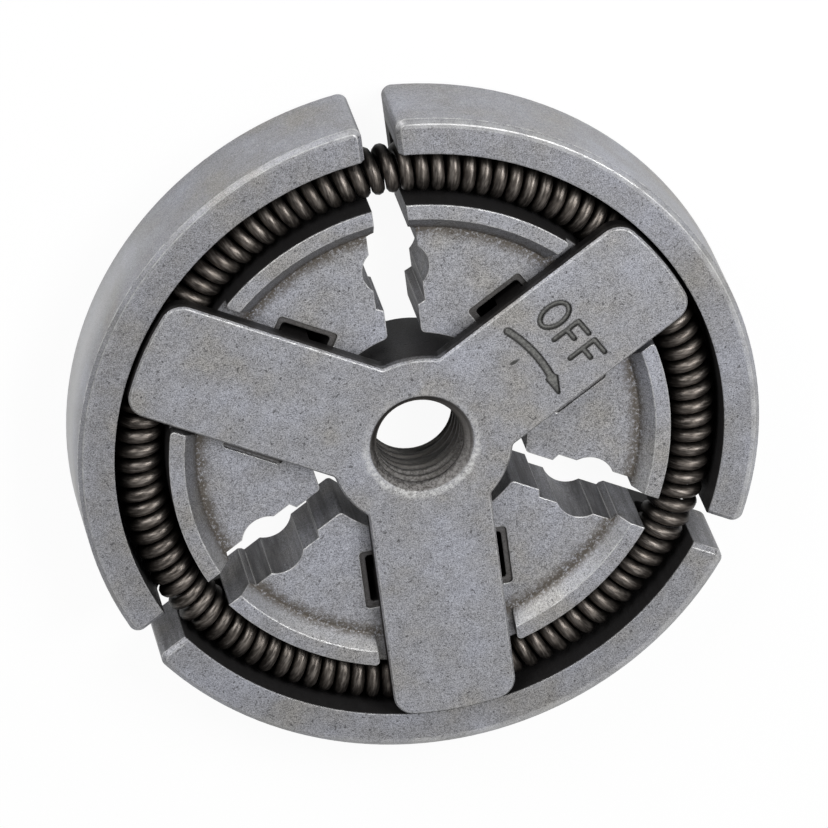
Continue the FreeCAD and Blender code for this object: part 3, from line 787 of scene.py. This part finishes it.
wire_material = wire_finish()
print("wire finish ready")

# %% Wind the spring
STATIONS_PER_COIL = 24
WIRE_SHARP = 60
SHOE_STRETCH = RING_RADIUS * 2 * HELD
THIRD = WHOLE / 3
GAP_MIDDLE = (THIRD - SHOE_STRETCH) / 2


def wire_points(first, last):
    """Points of the wire's own centre line from one distance along the ring to another."""
    count = math.ceil((last - first) / WHOLE * COILS * STATIONS_PER_COIL)
    points = []
    for step in range(count + 1):
        distance = first + (last - first) * step / count
        middle, outward = on_ring(distance)
        turned = 2 * math.pi * COILS * distance / WHOLE
        across = middle - outward * COIL_RADIUS * math.cos(turned)
        up = SPRING_HEIGHT + COIL_RADIUS * math.sin(turned)
        points.append((across.x * MM, across.y * MM, BACK + up * MM))
    return points


def wound_stretch(name, first, last):
    """The wire from one distance along the ring to another, as a mesh with capped ends."""
    curve = bpy.data.curves.new(name, "CURVE")
    curve.dimensions, curve.bevel_depth, curve.bevel_resolution = "3D", WIRE / 2 * MM, 3
    curve.use_fill_caps = True
    points = wire_points(first, last)
    wire = curve.splines.new("POLY")
    wire.points.add(len(points) - 1)
    for point, place in zip(wire.points, points):
        point.co = (*place, 1.0)
    holder = bpy.data.objects.new(name, curve)
    scene.collection.objects.link(holder)
    depsgraph = bpy.context.evaluated_depsgraph_get()
    mesh = bpy.data.meshes.new_from_object(holder.evaluated_get(depsgraph))
    bpy.data.objects.remove(holder)
    shape = bmesh.new()
    shape.from_mesh(mesh)
    bmesh.ops.remove_doubles(shape, verts=shape.verts, dist=JOIN)
    bmesh.ops.recalc_face_normals(shape, faces=shape.faces)
    return piece_of(shape, name)


for index, (node, angle) in enumerate(ARM_ANGLES.items()):
    middle = index * THIRD + SHOE_STRETCH / 2
    for side, letter in ((-1, "a"), (1, "b")):
        gap = middle + side * (SHOE_STRETCH / 2 + GAP_MIDDLE)
        stretch = wound_stretch(f"spring_{index + 1}{letter}", min(middle, gap), max(middle, gap))
        shade(stretch, wire_material, WIRE_SHARP)
        point, outward = on_ring(gap)
        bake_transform(stretch)
        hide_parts("garter_spring")
        print(stretch.name, len(stretch.data.polygons), "faces")

# %% [markdown]
# ## The studio
#
# The clutch lies on a pale floor in soft light. The floor shows white to the camera and in the
# metal, and keeps a faint shadow. A pale world lights every side, and three soft lamps shape it: a
# large one behind on the left draws the edges' highlights, a weaker one stands in front and above,
# and a small one close by lifts the upper right.

# %% Floor, world and lamps
FLOOR_GREY, WHITE = (0.93, 0.93, 0.93, 1.0), (1.0, 1.0, 1.0, 1.0)
FLOOR_HALF, FLOOR_GAP = 6.0, 0.02 * MM
SEEN_WHITE, REFLECTED_WHITE = 0.94, 0.45
WORLD_LIGHT = 0.27


def floor_finish():
    """A pale floor that is mostly white light to the camera, and partly so in reflections."""
    finish = Finish("studio_floor")
    finish.set(base_color=FLOOR_GREY, roughness=0.9)
    by_camera, by_gloss, by_glass = (finish.node("ShaderNodeLightPath", output=n)
                                     for n in (0, 3, 6))
    seen = by_camera * SEEN_WHITE + by_gloss * REFLECTED_WHITE + by_glass * REFLECTED_WHITE
    seen = seen.at_most(SEEN_WHITE)
    white = finish.node("ShaderNodeEmission", inputs={"Color": WHITE, "Strength": 1.0})
    lit = Value(finish, finish.shader.outputs[0])
    shown = finish.node("ShaderNodeMixShader", inputs={0: seen, 1: lit, 2: white})
    finish.join(finish.tree.nodes["Material Output"].inputs["Surface"], shown)
    return finish.material


ground = bmesh.new()
bmesh.ops.create_grid(ground, x_segments=1, y_segments=1, size=FLOOR_HALF)
bmesh.ops.translate(ground, verts=ground.verts, vec=(0, 0, BACK - FLOOR_GAP))
floor = piece_of(ground, "floor")
floor.data.materials.append(floor_finish())

world = bpy.data.worlds.new("studio")
world.use_nodes = True
backdrop = world.node_tree.nodes["Background"]
backdrop.inputs["Color"].default_value = WHITE
backdrop.inputs["Strength"].default_value = WORLD_LIGHT
scene.world = world


def soft_lamp(name, place, size, power):
    """A square lamp aimed at the clutch."""
    light = bpy.data.lights.new(name, "AREA")
    light.shape, light.size, light.energy = "SQUARE", size, power
    lamp = bpy.data.objects.new(name, light)
    lamp.location = place
    lamp.rotation_euler = (-Vector(place)).to_track_quat("-Z", "Y").to_euler()
    scene.collection.objects.link(lamp)


soft_lamp("key_lamp", (-0.40, 0.65, 0.50), 0.45, 3.7)
soft_lamp("top_lamp", (0.16, -0.34, 0.74), 0.45, 0.85)
soft_lamp("near_lamp", (0.12, 0.08, 0.20), 0.12, 0.40)
print("studio ready")
